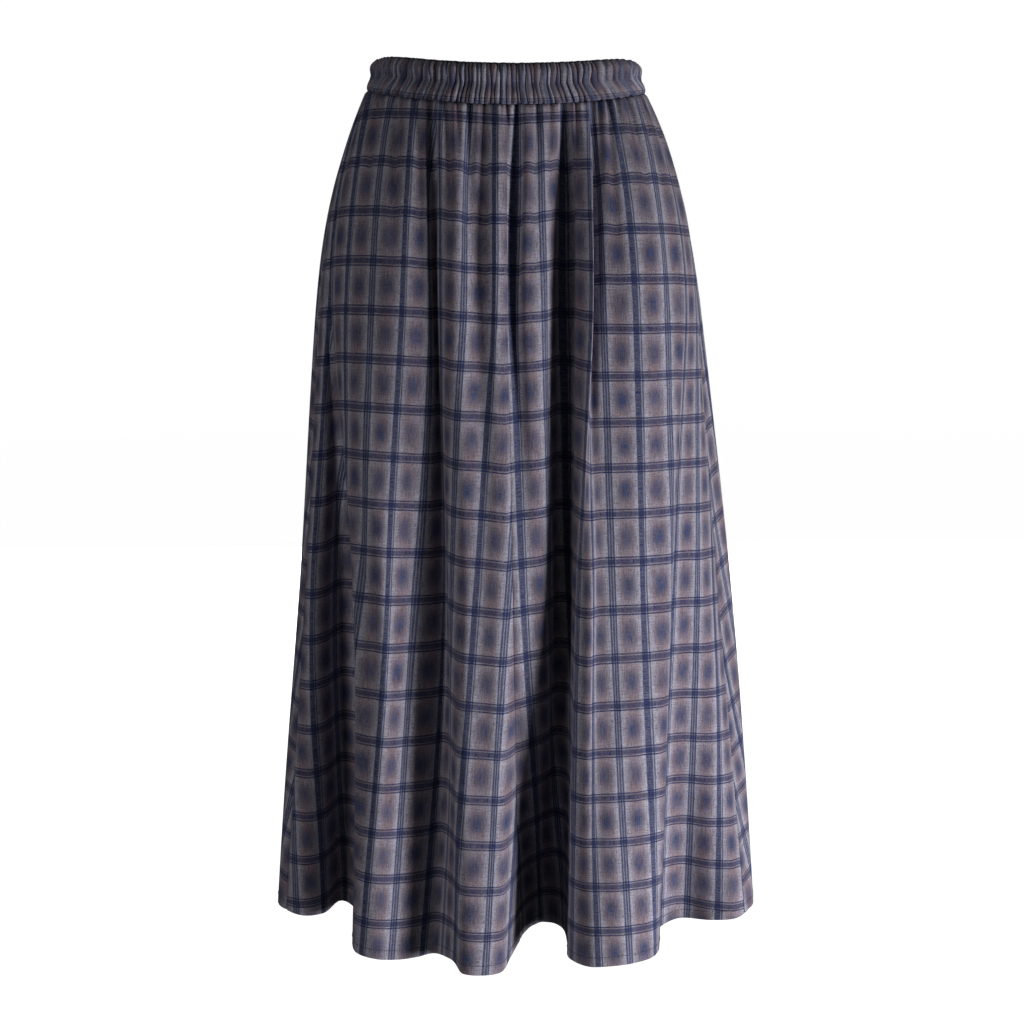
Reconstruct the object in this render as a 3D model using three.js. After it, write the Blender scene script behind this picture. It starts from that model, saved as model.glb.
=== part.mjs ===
// Maxi skirt: two front panels, a back panel and a gathered elastic waistband, filled out as worn.
// Millimetres, +Z up, front towards -Y, the wearer's left towards +X.
// The origin is the centre of the waistband at half its height.
import * as THREE from 'three';

// Driving dimensions
const bandHeight = 40;
const bandHalfWidth = 127.5;
const bandHalfDepth = 90;
const bandThickness = 3.5;
const bandRidges = 78;
const bandRidgeDepth = 2.2;
const waistDip = 5.5;
const waistTilt = 2;
const skirtTopHalfWidth = 136;
const skirtTopHalfDepth = 96.5;
const skirtLength = 833;
const clothThickness = 1.5;
const seamGap = 0.3;
const gathersPerFront = 13;
const gathersInBack = 28;
const gatherDepth = 2.6;
const gatherLength = 0.15;
const gatherFade = 1.5;
const ridgeUnevenness = 0.2;
const ridgeUnevenTurns = 2.4;
const waistSpring = 2.2;

// How finely the walls are divided
const columnsPerRidge = 4;
const columnsPerGather = 4;
const bandInnerColumns = 104;
const bandInnerRowStep = 3;
const wallStep = 14;
const gatherRows = [0, 0.02, 0.05, 0.1];
const foldRows = [0.15, 0.23, 0.31, 0.4, 0.5, 0.6, 0.7, 0.8, 0.9, 1];

// Shares of the skirt's length at which the fold lines below are given: waist, hip, knee and hem
const stations = [0, 0.275, 0.615, 1];

// The waistband's section from its base to its top: two soft puffs with the elastic's pinch between
const bandProfile = [
  { height: 0, out: 7.5 },
  { height: 0.2, out: 7 },
  { height: 0.42, out: 3 },
  { height: 0.55, out: 0.8 },
  { height: 0.75, out: 1.4 },
  { height: 0.92, out: 0.8 },
  { height: 1, out: -1.2 },
];

// Fold lines that run down the cloth, from the wearer's right side seam round the front and back.
// waist is the place on the waist's oval in degrees: 180 is the wearer's right, 90 the centre front.
// hip, knee and hem are places in plan, each as [towards the wearer's left, towards the front].
const foldLines = [
  { name: 'rightSideSeam', waist: 186, hip: [-186, -4], knee: [-206, -20], hem: [-229, -10] },
  { name: 'sideLobe', waist: 182, hip: [-183, 10], knee: [-196, -4], hem: [-210, 2] },
  { name: 'sideLobeEnd', waist: 179, hip: [-179, 18], knee: [-183, -12], hem: [-190, -8] },
  { name: 'sideValley', waist: 176, hip: [-174, 18], knee: [-168, -34], hem: [-173, -44] },
  { name: 'sideTuck', waist: 173, hip: [-166, 26], knee: [-144, 2], hem: [-153, -10] },
  { name: 'bigFoldEdge', waist: 169, hip: [-168, 46], knee: [-146, 84], hem: [-154, 86] },
  { name: 'bigFoldShoulder', waist: 162, hip: [-156, 70], knee: [-137, 98], hem: [-146, 112] },
  { name: 'bigFold', waist: 152, hip: [-134, 92], knee: [-117, 108], hem: [-128, 122] },
  { name: 'bigFoldEnd', waist: 134, hip: [-91, 112], knee: [-91, 92], hem: [-105, 106] },
  { name: 'softValleyEdge', waist: 123, hip: [-73, 106], knee: [-75, 74], hem: [-90, 86] },
  { name: 'softValley', waist: 119, hip: [-66, 92], knee: [-63, 64], hem: [-76, 74] },
  { name: 'middleFoldStart', waist: 117, hip: [-58, 113], knee: [-56, 101], hem: [-58, 102] },
  { name: 'middleFold', waist: 107, hip: [-42, 127], knee: [-38, 119], hem: [-39, 143] },
  { name: 'middleDip', waist: 99, hip: [-24, 117], knee: [-21, 123], hem: [-20, 146] },
  { name: 'middleFoldEnd', waist: 94.5, hip: [-9, 126], knee: [-7, 123], hem: [-5, 134] },
  { name: 'middleFlank', waist: 92, hip: [-3, 124], knee: [2, 121], hem: [6, 88] },
  { name: 'frontSeam', waist: 90, hip: [3, 118], knee: [8, 118], hem: [15, 44] },
  { name: 'seamGroove', waist: 85.5, hip: [9, 112], knee: [20, 108], hem: [20, 24] },
  { name: 'frontGroove', waist: 81, hip: [20, 121], knee: [33, 101], hem: [27, 10] },
  { name: 'deepValleyStart', waist: 74, hip: [37, 119], knee: [48, 95], hem: [36, 4] },
  { name: 'deepValley', waist: 68, hip: [52, 90], knee: [56, 76], hem: [48, 6] },
  { name: 'deepValleyEnd', waist: 65, hip: [60, 92], knee: [61, 76], hem: [58, 18] },
  { name: 'narrowPleat', waist: 62, hip: [66, 112], knee: [65, 108], hem: [61, 66] },
  { name: 'narrowPleatLip', waist: 55, hip: [80, 127], knee: [68, 127], hem: [63, 97] },
  { name: 'narrowPleatTuck', waist: 53.5, hip: [80, 113], knee: [80, 136], hem: [71, 114] },
  { name: 'broadFoldStart', waist: 50, hip: [88, 115], knee: [87, 133], hem: [84, 125] },
  { name: 'broadFold', waist: 42, hip: [110, 121], knee: [103, 134], hem: [103, 133] },
  { name: 'broadFoldEnd', waist: 31, hip: [142, 105], knee: [133, 122], hem: [133, 121] },
  { name: 'broadFoldEdge', waist: 20, hip: [166, 76], knee: [157, 98], hem: [151, 98] },
  { name: 'leftValley', waist: 15, hip: [174, 60], knee: [163, 64], hem: [158, 20] },
  { name: 'leftLobeStart', waist: 11, hip: [180, 46], knee: [178, 48], hem: [180, -2] },
  { name: 'leftLobe', waist: 6, hip: [186, 29], knee: [198, 38], hem: [212, 10] },
  { name: 'leftLobeEnd', waist: 1, hip: [189, 11], knee: [210, 20], hem: [236, 12] },
  { name: 'leftSideSeam', waist: -5, hip: [190, -4], knee: [216, -4], hem: [247, 0] },
  { name: 'backLobe1', waist: -13, hip: [195, -26], knee: [231, -38], hem: [258, -32] },
  { name: 'backLobe1End', waist: -20, hip: [192, -42], knee: [223, -60], hem: [251, -62] },
  { name: 'backValley1', waist: -28, hip: [180, -60], knee: [198, -74], hem: [208, -74] },
  { name: 'backLobe2', waist: -38, hip: [166, -80], knee: [184, -104], hem: [200, -118] },
  { name: 'backLobe2End', waist: -46, hip: [150, -92], knee: [166, -118], hem: [180, -136] },
  { name: 'backValley2', waist: -56, hip: [126, -94], knee: [134, -92], hem: [146, -84] },
  { name: 'backLobe3', waist: -65, hip: [102, -110], knee: [112, -126], hem: [120, -142] },
  { name: 'backLobe3End', waist: -73, hip: [84, -114], knee: [90, -136], hem: [96, -156] },
  { name: 'backValley3', waist: -81, hip: [62, -108], knee: [62, -104], hem: [62, -92] },
  { name: 'backLobe4', waist: -88, hip: [38, -117], knee: [38, -126], hem: [38, -134] },
  { name: 'backValley4', waist: -96, hip: [16, -112], knee: [10, -104], hem: [4, -88] },
  { name: 'backLobe5', waist: -104, hip: [-8, -119], knee: [-16, -134], hem: [-20, -152] },
  { name: 'backLobe5End', waist: -111, hip: [-28, -119], knee: [-38, -140], hem: [-46, -158] },
  { name: 'backValley5', waist: -120, hip: [-54, -108], knee: [-62, -100], hem: [-70, -86] },
  { name: 'backLobe6', waist: -128, hip: [-82, -110], knee: [-92, -120], hem: [-100, -132] },
  { name: 'backValley6', waist: -136, hip: [-104, -98], knee: [-116, -94], hem: [-124, -84] },
  { name: 'backLobe7', waist: -144, hip: [-128, -98], knee: [-140, -116], hem: [-148, -136] },
  { name: 'backLobe7End', waist: -152, hip: [-148, -84], knee: [-160, -110], hem: [-174, -130] },
  { name: 'backValley7', waist: -160, hip: [-168, -60], knee: [-180, -70], hem: [-190, -72] },
  { name: 'backLobe8', waist: -166, hip: [-186, -42], knee: [-204, -62], hem: [-226, -74] },
  { name: 'backLobe8End', waist: -170, hip: [-189, -26], knee: [-213, -44], hem: [-239, -36] },
];
const rightSideSeam = 0;
const frontSeam = foldLines.findIndex((line) => line.name === 'frontSeam');
const leftSideSeam = foldLines.findIndex((line) => line.name === 'leftSideSeam');
const wholeWay = foldLines.length;

// How high a point of the waist stands above or below level: low at front and back, high at the sides
function waistRise(degrees) {
  const angle = THREE.MathUtils.degToRad(degrees);
  return -waistDip * Math.sin(angle) ** 2 - waistTilt * Math.cos(angle);
}

// A value that passes through the four stations: it leaves the waist steeply, then runs nearly straight
function alongFold(values, share) {
  const slopes = [1, 2, 3].map((i) => (values[i] - values[i - 1]) / (stations[i] - stations[i - 1]));
  const tangents = [waistSpring * slopes[0], slopes[1], (slopes[1] + slopes[2]) / 2, slopes[2]];
  const start = share < stations[1] ? 0 : share < stations[2] ? 1 : 2;
  const span = stations[start + 1] - stations[start];
  const f = (share - stations[start]) / span;
  const towardsEnd = f * f * (3 - 2 * f);
  const leaving = f * (1 - f) ** 2 * span * tangents[start];
  const arriving = f * f * (f - 1) * span * tangents[start + 1];
  return values[start] + (values[start + 1] - values[start]) * towardsEnd + leaving + arriving;
}

// The closed plan curve of the cloth's outside at one share of the skirt's length
function planCurve(share) {
  const points = foldLines.map(({ waist, hip, knee, hem }) => {
    const angle = THREE.MathUtils.degToRad(waist);
    const across = alongFold([skirtTopHalfWidth * Math.cos(angle), hip[0], knee[0], hem[0]], share);
    const out = alongFold([skirtTopHalfDepth * Math.sin(angle), hip[1], knee[1], hem[1]], share);
    return new THREE.Vector3(across, -out, 0);
  });
  return new THREE.CatmullRomCurve3(points, true, 'centripetal');
}

// The place along the fold lines that meets the waist at the given angle
function placeAtWaist(degrees) {
  const angles = foldLines.map((line) => line.waist);
  angles.push(angles[0] - 360);
  const next = Math.max(1, angles.findIndex((angle) => angle <= degrees));
  return next - (degrees - angles[next]) / (angles[next - 1] - angles[next]);
}

// Small ridges side by side, some a little lower than others: 0 between two ridges, about 1 on one
function ridgeWave(count, along) {
  const uneven = 1 - ridgeUnevenness * (1 - Math.sin(ridgeUnevenTurns * count * along));
  return uneven * (0.5 - 0.5 * Math.cos(2 * Math.PI * count * along));
}

// Gathers stand out only, and die away below the waist
function gatherOut(count, along, share) {
  if (share >= gatherLength) {
    return 0;
  }
  const fade = (1 - share / gatherLength) ** gatherFade;
  return gatherDepth * fade * ridgeWave(count, along);
}

const waistCurve = planCurve(0);
const hemCurve = planCurve(1);

// One point of the cloth: place counts fold lines, offset is outwards and slide is along the hem
function clothPoint(curve, share, place, degrees, offset, slide) {
  const u = (place / wholeWay) % 1;
  const point = curve.getPoint(u);
  const tangent = curve.getTangent(u);
  const outward = new THREE.Vector3(tangent.y, -tangent.x, 0);
  const drift = hemCurve.getPoint(u).distanceTo(waistCurve.getPoint(u));
  const drop = Math.sqrt(skirtLength ** 2 - drift ** 2);
  point.addScaledVector(outward, offset).addScaledVector(tangent, slide);
  point.z = -bandHeight / 2 - seamGap + waistRise(degrees) - drop * share;
  return point;
}

// A wall is rows of points, each with a key that says how far along the row it stands
function newWall() {
  return { positions: [], triangles: [] };
}

function addRow(wall, entries) {
  return entries.map(({ key, point }) => {
    wall.positions.push(point.x, point.y, point.z);
    return { key, vertex: wall.positions.length / 3 - 1 };
  });
}

// Joins two rows with triangles, stepping along whichever row is behind.
// Where they are level the outside steps above first and the inside below, so that both bend alike.
function bridge(wall, upper, lower, upperFirst) {
  let i = 0;
  let j = 0;
  while (i < upper.length - 1 || j < lower.length - 1) {
    const upperNext = i < upper.length - 1 ? upper[i].key + upper[i + 1].key : Infinity;
    const lowerNext = j < lower.length - 1 ? lower[j].key + lower[j + 1].key : Infinity;
    if (upperNext < lowerNext || (upperNext === lowerNext && upperFirst)) {
      wall.triangles.push(upper[i].vertex, lower[j].vertex, upper[i + 1].vertex);
      i += 1;
    } else {
      wall.triangles.push(upper[i].vertex, lower[j].vertex, lower[j + 1].vertex);
      j += 1;
    }
  }
}

// Bridges the outer rows downwards, the inner rows upwards, and both rims between them
function joinRows(wall, outer, inner) {
  const round = [...outer, ...inner.slice().reverse(), outer[0]];
  for (let i = 0; i < round.length - 1; i += 1) {
    bridge(wall, round[i], round[i + 1], i < outer.length - 1);
  }
}

// Closes the wall's cut edge at the start (side 0) or the end (side -1) of its rows
function closeEdge(wall, outer, inner, side) {
  for (let i = 0; i < outer.length - 1; i += 1) {
    const a = outer[i].at(side).vertex;
    const b = outer[i + 1].at(side).vertex;
    const c = inner[i + 1].at(side).vertex;
    const d = inner[i].at(side).vertex;
    if (side === 0) {
      wall.triangles.push(a, c, b, a, d, c);
    } else {
      wall.triangles.push(a, b, c, a, c, d);
    }
  }
}

function meshFrom(wall, name, material) {
  const geometry = new THREE.BufferGeometry();
  geometry.setAttribute('position', new THREE.Float32BufferAttribute(wall.positions, 3));
  geometry.setIndex(wall.triangles);
  geometry.computeVertexNormals();
  const mesh = new THREE.Mesh(geometry, material);
  mesh.name = name;
  return mesh;
}

// Places between two fold lines, closer together where the cloth is longest
function foldColumns(from, to) {
  const places = [];
  for (let line = from; line < to; line += 1) {
    const here = foldLines[line];
    const next = foldLines[(line + 1) % wholeWay];
    const lengths = ['hip', 'knee', 'hem'].map((at) => {
      return Math.hypot(next[at][0] - here[at][0], next[at][1] - here[at][1]);
    });
    const steps = Math.max(1, Math.round(Math.max(...lengths) / wallStep));
    for (let step = 0; step < steps; step += 1) {
      places.push(line + step / steps);
    }
  }
  places.push(to);
  return places;
}

function waistAngle(place) {
  const line = Math.floor(place);
  const here = foldLines[line % wholeWay].waist - (line >= wholeWay ? 360 : 0);
  const next = line + 1 < wholeWay ? foldLines[line + 1].waist : foldLines[0].waist - 360;
  return here + (next - here) * (place - line);
}

// One panel of cloth between two seams
function panel(name, from, to, gathers, material) {
  const wall = newWall();
  const start = waistAngle(from);
  const end = waistAngle(to);
  const folds = foldColumns(from, to);
  const gatherColumns = Array.from({ length: gathers * columnsPerGather + 1 }, (_, column) => {
    const along = column / (gathers * columnsPerGather);
    return placeAtWaist(start + (end - start) * along);
  });
  gatherColumns[0] = from;
  gatherColumns[gatherColumns.length - 1] = to;

  const rowOfPoints = (share, places, depth) => {
    const curve = planCurve(share);
    const entries = places.map((place, column) => {
      const degrees = waistAngle(place);
      const along = (degrees - start) / (end - start);
      const atStart = column === 0 ? seamGap / 2 : 0;
      const atEnd = column === places.length - 1 ? seamGap / 2 : 0;
      const offset = depth === 0 ? gatherOut(gathers, along, share) : -depth;
      return { key: place, point: clothPoint(curve, share, place, degrees, offset, atStart - atEnd) };
    });
    return addRow(wall, entries);
  };

  const outer = [
    ...gatherRows.map((share) => rowOfPoints(share, gatherColumns, 0)),
    ...foldRows.map((share) => rowOfPoints(share, folds, 0)),
  ];
  const inner = [...gatherRows, ...foldRows].map((share) => rowOfPoints(share, folds, clothThickness));
  joinRows(wall, outer, inner);
  closeEdge(wall, outer, inner, 0);
  closeEdge(wall, outer, inner, -1);
  return meshFrom(wall, name, material);
}

// The gathered casing, with its ridges raised on the outside of a plain inside
function waistband(material) {
  const wall = newWall();
  const rowOfPoints = (columns, height, out, ridge) => {
    const entries = Array.from({ length: columns }, (_, column) => {
      const along = column / columns;
      const degrees = 180 - 360 * along;
      const angle = THREE.MathUtils.degToRad(degrees);
      const raised = ridge * ridgeWave(bandRidges, along);
      const x = (bandHalfWidth + out + raised) * Math.cos(angle);
      const y = -(bandHalfDepth + out + raised) * Math.sin(angle);
      const z = (height - 0.5) * bandHeight + waistRise(degrees);
      return { key: along, point: new THREE.Vector3(x, y, z) };
    });
    const row = addRow(wall, entries);
    return [...row, { key: 1, vertex: row[0].vertex }];
  };

  const topDown = bandProfile.slice().reverse();
  const outer = topDown.map(({ height, out }) => {
    return rowOfPoints(bandRidges * columnsPerRidge, height, out, bandRidgeDepth);
  });
  const plainRows = topDown.filter((_, row) => row % bandInnerRowStep === 0);
  const inner = plainRows.map(({ height, out }) => {
    return rowOfPoints(bandInnerColumns, height, out - bandThickness, 0);
  });
  joinRows(wall, outer, inner);
  return meshFrom(wall, 'waistband', material);
}

const clothMaterial = new THREE.MeshStandardMaterial({ color: 0x8a7f86, roughness: 0.9, metalness: 0 });
const bandMaterial = new THREE.MeshStandardMaterial({ color: 0x7d727b, roughness: 0.9, metalness: 0 });

const skirt = new THREE.Group();
skirt.add(panel('right_front_panel', rightSideSeam, frontSeam, gathersPerFront, clothMaterial));
skirt.add(panel('left_front_panel', frontSeam, leftSideSeam, gathersPerFront, clothMaterial));
skirt.add(panel('back_panel', leftSideSeam, wholeWay, gathersInBack, clothMaterial));
skirt.add(waistband(bandMaterial));

export default skirt;
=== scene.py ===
"""Gathered maxi skirt in a brushed shadow check, on an elastic waistband, filled out as worn.

Laid out as a Blender add-on. Each operator makes one kind of piece in metres, in the frame of the
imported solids: the front faces -Y, +Z is up, and the origin is the centre of the waistband.
"""
import functools
import math
from collections import namedtuple

import bpy
import numpy as np
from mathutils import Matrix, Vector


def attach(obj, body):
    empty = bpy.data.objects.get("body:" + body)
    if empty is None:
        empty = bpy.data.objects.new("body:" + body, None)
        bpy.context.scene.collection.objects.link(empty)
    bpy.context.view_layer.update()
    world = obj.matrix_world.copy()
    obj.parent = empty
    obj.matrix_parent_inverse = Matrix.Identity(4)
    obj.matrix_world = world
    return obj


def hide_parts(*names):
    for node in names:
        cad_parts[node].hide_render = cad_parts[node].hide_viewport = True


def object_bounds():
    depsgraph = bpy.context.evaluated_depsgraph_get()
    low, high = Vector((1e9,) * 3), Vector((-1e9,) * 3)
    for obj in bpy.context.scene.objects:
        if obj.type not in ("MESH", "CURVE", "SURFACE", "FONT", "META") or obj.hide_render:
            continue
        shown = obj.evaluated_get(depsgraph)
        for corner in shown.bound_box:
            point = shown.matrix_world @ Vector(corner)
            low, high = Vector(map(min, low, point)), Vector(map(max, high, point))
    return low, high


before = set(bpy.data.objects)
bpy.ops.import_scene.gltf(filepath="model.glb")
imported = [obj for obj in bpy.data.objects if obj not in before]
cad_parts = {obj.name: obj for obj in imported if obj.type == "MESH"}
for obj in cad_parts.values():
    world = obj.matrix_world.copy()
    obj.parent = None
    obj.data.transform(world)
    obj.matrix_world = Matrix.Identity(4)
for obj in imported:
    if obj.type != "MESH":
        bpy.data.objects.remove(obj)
CAD_BOUNDS = [[float(v) for v in corner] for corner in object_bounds()]

bl_info = {
    "name": "Plaid Maxi Skirt",
    "version": (1, 0, 0),
    "blender": (4, 5, 0),
    "location": "View3D > Sidebar > Skirt",
    "description": "Builds a gathered maxi skirt in checked cloth, with its seams, hem and stage",
    "category": "Add Mesh",
}

MM = 0.001

# Shares of the skirt's length at which the fold lines are given: waist, hip, knee and hem
STATIONS = (0.0, 0.275, 0.615, 1.0)

FoldLine = namedtuple("FoldLine", "name waist hip knee hem stripes")

# Fold lines that run down the cloth, from the wearer's right side seam round the front and back.
# waist is the place on the waist's oval in degrees: 180 is the wearer's right, 90 the centre front.
# hip, knee and hem are places in plan in mm, each (towards the wearer's left, towards the front).
# stripes, on the front, counts the upright stripes of the check there, at waist, hip, knee and hem.
FOLD_LINES = [
    FoldLine("right_side_seam", 186, (-186, -4), (-206, -20), (-229, -10), (-3.85, -3.95, -3.5, -4.45)),
    FoldLine("side_lobe", 182, (-183, 10), (-196, -4), (-210, 2), (-3.35, -3.5, -3.0, -3.8)),
    FoldLine("side_lobe_end", 179, (-179, 18), (-183, -12), (-190, -8), (-3.0, -3.2, -2.55, -3.04)),
    FoldLine("side_valley", 176, (-174, 18), (-168, -34), (-173, -44), (-2.6, -3.05, -1.6, -2.2)),
    FoldLine("side_tuck", 173, (-166, 26), (-144, 2), (-153, -10), (-2.0, -2.7, -0.8, -1.0)),
    FoldLine("big_fold_edge", 169, (-168, 46), (-146, 84), (-154, 86), (-1.12, -2.07, -0.05, 0.6)),
    FoldLine("big_fold_shoulder", 162, (-156, 70), (-133, 103), (-146, 112), (-0.95, -1.17, 0.33, 0.83)),
    FoldLine("big_fold", 152, (-134, 95), (-117, 108), (-128, 122), (-0.55, -0.2, 0.93, 1.46)),
    FoldLine("big_fold_end", 134, (-91, 110), (-91, 92), (-105, 110), (0.59, 1.3, 2.0, 2.3)),
    FoldLine("soft_valley_edge", 123, (-73, 106), (-73, 80), (-87, 97), (1.6, 1.93, 2.5, 2.85)),
    FoldLine("soft_valley", 119, (-66, 92), (-60, 69), (-71, 85), (1.97, 2.5, 3.05, 3.4)),
    FoldLine("middle_fold_start", 117, (-58, 115), (-53, 96), (-55, 101), (2.9, 3.35, 4.03, 4.8)),
    FoldLine("middle_fold", 107, (-42, 124), (-40, 121), (-42, 141), (3.75, 3.98, 4.72, 5.45)),
    FoldLine("middle_dip", 99, (-24, 119), (-21, 122), (-20, 142), (4.52, 4.62, 5.33, 6.0)),
    FoldLine("middle_fold_end", 94.5, (-9, 126), (-7, 123), (-5, 134), (4.97, 5.15, 5.85, 6.6)),
    FoldLine("middle_flank", 92, (-3, 124), (2, 121), (6, 88), (5.2, 5.33, 6.12, 7.2)),
    FoldLine("front_seam", 90, (3, 118), (8, 116), (15, 44), (5.35, 5.55, 6.3, 7.7)),
    FoldLine("seam_groove", 85.5, (9, 112), (20, 112), (20, 24), (0.97, 1.02, 1.0, 0.3)),
    FoldLine("front_groove", 81, (20, 121), (33, 105), (27, 10), (1.45, 1.45, 1.42, 0.62)),
    FoldLine("deep_valley_start", 74, (37, 113), (41, 90), (36, 4), (2.3, 2.0, 1.95, 1.0)),
    FoldLine("deep_valley", 68, (50, 84), (51, 66), (48, 6), (2.85, 2.85, 2.6, 1.45)),
    FoldLine("deep_valley_end", 65, (61, 84), (60, 68), (58, 18), (3.2, 3.15, 2.9, 1.9)),
    FoldLine("narrow_pleat", 62, (69, 106), (66, 98), (61, 66), (3.5, 3.45, 3.5, 3.0)),
    FoldLine("narrow_pleat_lip", 55, (80, 127), (68, 127), (63, 97), (4.05, 4.1, 4.02, 3.85)),
    FoldLine("narrow_pleat_tuck", 53.5, (80, 113), (80, 136), (71, 114), (5.9, 5.5, 4.55, 4.35)),
    FoldLine("broad_fold_start", 50, (88, 117), (88, 129), (84, 127), (6.35, 5.82, 5.42, 4.75)),
    FoldLine("broad_fold", 42, (110, 120), (104, 127), (103, 130), (7.05, 6.55, 6.0, 5.36)),
    FoldLine("broad_fold_end", 31, (142, 108), (133, 120.5), (133, 121), (7.68, 7.6, 6.98, 6.42)),
    FoldLine("broad_fold_edge", 20, (166, 76), (157, 100), (151, 98), (8.2, 8.5, 7.75, 7.2)),
    FoldLine("left_valley", 15, (174, 60), (163, 64), (158, 20), (8.7, 9.1, 8.95, 9.0)),
    FoldLine("left_lobe_start", 11, (180, 46), (178, 48), (180, -2), (9.1, 9.55, 9.6, 9.78)),
    FoldLine("left_lobe", 6, (186, 29), (198, 38), (212, 10), (9.4, 10.1, 10.4, 10.83)),
    FoldLine("left_lobe_end", 1, (189, 11), (210, 20), (236, 12), (9.6, 10.65, 11.05, 11.6)),
    FoldLine("left_side_seam", -5, (190, -4), (216, -4), (247, 0), (9.8, 11.1, 11.75, 11.97)),
    FoldLine("back_lobe_1", -13, (195, -26), (231, -38), (258, -32), None),
    FoldLine("back_lobe_1_end", -20, (192, -42), (223, -60), (251, -62), None),
    FoldLine("back_valley_1", -28, (180, -60), (198, -74), (208, -74), None),
    FoldLine("back_lobe_2", -38, (166, -80), (184, -104), (200, -118), None),
    FoldLine("back_lobe_2_end", -46, (150, -92), (166, -118), (180, -136), None),
    FoldLine("back_valley_2", -56, (126, -94), (134, -92), (146, -84), None),
    FoldLine("back_lobe_3", -65, (102, -110), (112, -126), (120, -142), None),
    FoldLine("back_lobe_3_end", -73, (84, -114), (90, -136), (96, -156), None),
    FoldLine("back_valley_3", -81, (62, -108), (62, -104), (62, -92), None),
    FoldLine("back_lobe_4", -88, (38, -117), (38, -126), (38, -134), None),
    FoldLine("back_valley_4", -96, (16, -112), (10, -104), (4, -88), None),
    FoldLine("back_lobe_5", -104, (-8, -119), (-16, -134), (-20, -152), None),
    FoldLine("back_lobe_5_end", -111, (-28, -119), (-38, -140), (-46, -158), None),
    FoldLine("back_valley_5", -120, (-54, -108), (-62, -100), (-70, -86), None),
    FoldLine("back_lobe_6", -128, (-82, -110), (-92, -120), (-100, -132), None),
    FoldLine("back_valley_6", -136, (-104, -98), (-116, -94), (-124, -84), None),
    FoldLine("back_lobe_7", -144, (-128, -98), (-140, -116), (-148, -136), None),
    FoldLine("back_lobe_7_end", -152, (-148, -84), (-160, -110), (-174, -130), None),
    FoldLine("back_valley_7", -160, (-168, -60), (-180, -70), (-190, -72), None),
    FoldLine("back_lobe_8", -166, (-186, -42), (-204, -62), (-226, -74), None),
    FoldLine("back_lobe_8_end", -170, (-189, -26), (-213, -44), (-239, -36), None),
]
FOLD_NAMES = [line.name for line in FOLD_LINES]
WHOLE_WAY = len(FOLD_LINES)

BandRow = namedtuple("BandRow", "height out")

# The waistband's section from its base to its top: height as a share, and how far out in mm
BAND_PROFILE = [
    BandRow(0.0, 4.4),
    BandRow(0.05, 5.4),
    BandRow(0.2, 4.6),
    BandRow(0.42, 2.0),
    BandRow(0.54, 0.9),
    BandRow(0.66, 1.6),
    BandRow(0.8, 1.9),
    BandRow(0.9, 0.9),
    BandRow(0.96, -0.8),
    BandRow(1.0, -3.0),
]

Gather = namedtuple("Gather", "waist depth reach")

# Gathers that show on the front: place on the waist in degrees, depth at the seam and reach in mm
FRONT_GATHERS = [
    Gather(176, 4.0, 140),
    Gather(168, 3.5, 120),
    Gather(160, 4.0, 110),
    Gather(153, 5.0, 130),
    Gather(148.4, 3.0, 80),
    Gather(140.5, 6.0, 170),
    Gather(136.4, 3.0, 90),
    Gather(128, 5.0, 190),
    Gather(125.6, 3.0, 80),
    Gather(121, 8.5, 260),
    Gather(113, 5.5, 150),
    Gather(108.5, 3.0, 80),
    Gather(104, 8.5, 200),
    Gather(98.3, 7.5, 280),
    Gather(95, 4.0, 130),
    Gather(89.2, 4.0, 90),
    Gather(85.3, 9.0, 280),
    Gather(77.5, 6.0, 180),
    Gather(72.2, 4.0, 110),
    Gather(66, 9.0, 300),
    Gather(61, 3.0, 80),
    Gather(52.5, 8.0, 230),
    Gather(49, 5.0, 120),
    Gather(44, 7.0, 190),
    Gather(39.4, 4.0, 110),
    Gather(34, 3.0, 80),
    Gather(30.6, 5.5, 130),
    Gather(21.8, 4.5, 120),
    Gather(12, 4.0, 110),
    Gather(4, 4.0, 110),
]

CheckDrop = namedtuple("CheckDrop", "down drop")

# How far the level bars hang below their place in the flat cut, in mm, at each metre below the seam
CHECK_DROPS = [
    CheckDrop(0.0, 13.0),
    CheckDrop(0.05, 9.8),
    CheckDrop(0.24, 9.5),
    CheckDrop(0.32, 10.6),
    CheckDrop(0.4, 11.3),
    CheckDrop(0.47, 11.7),
    CheckDrop(0.55, 12.6),
    CheckDrop(0.63, 12.3),
    CheckDrop(0.7, 9.9),
    CheckDrop(0.83, 5.9),
]

PanelCut = namedtuple("PanelCut", "name node start end first_stripes widths sector_start seed")

# Each panel between two seams. The front seam's stripes are counted afresh on its second side.
# widths is its cut in widths of one front panel, and sector_start is the turn of its first edge from
# the upright thread, as a share of the cut's flare.
PANELS = [
    PanelCut("skirt_front_right", "right_front_panel", 0, FOLD_NAMES.index("front_seam"),
             None, 1, -0.75, 11),
    PanelCut("skirt_front_left", "left_front_panel", FOLD_NAMES.index("front_seam"),
             FOLD_NAMES.index("left_side_seam"), (0.6, 0.84, 0.6, -0.3), 1, -0.25, 12),
    PanelCut("skirt_back", "back_panel", FOLD_NAMES.index("left_side_seam"), WHOLE_WAY,
             None, 2, -0.5, 13),
]

# Length of the waistband's casing before it is gathered, in metres
BAND_CUT = 1.02

SoftBox = namedtuple("SoftBox", "name around height distance width power")

# Soft boxes: degrees round from the front, height, distance and width in metres, and the look's power
SOFT_BOXES = [
    SoftBox("key", 58, -0.92, 1.8, 0.6, "key_power"),
    SoftBox("left_fill", -46, -0.7, 2.5, 1.0, "fill_power"),
    SoftBox("rear", 183, -0.5, 2.6, 1.0, "rear_power"),
]


def hex_to_linear(code):
    """A colour written as an sRGB hex value, as linear red, green and blue."""
    channels = [int(code[i:i + 2], 16) / 255 for i in (1, 3, 5)]
    return [c / 12.92 if c <= 0.04045 else ((c + 0.055) / 1.055) ** 2.4 for c in channels]


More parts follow.
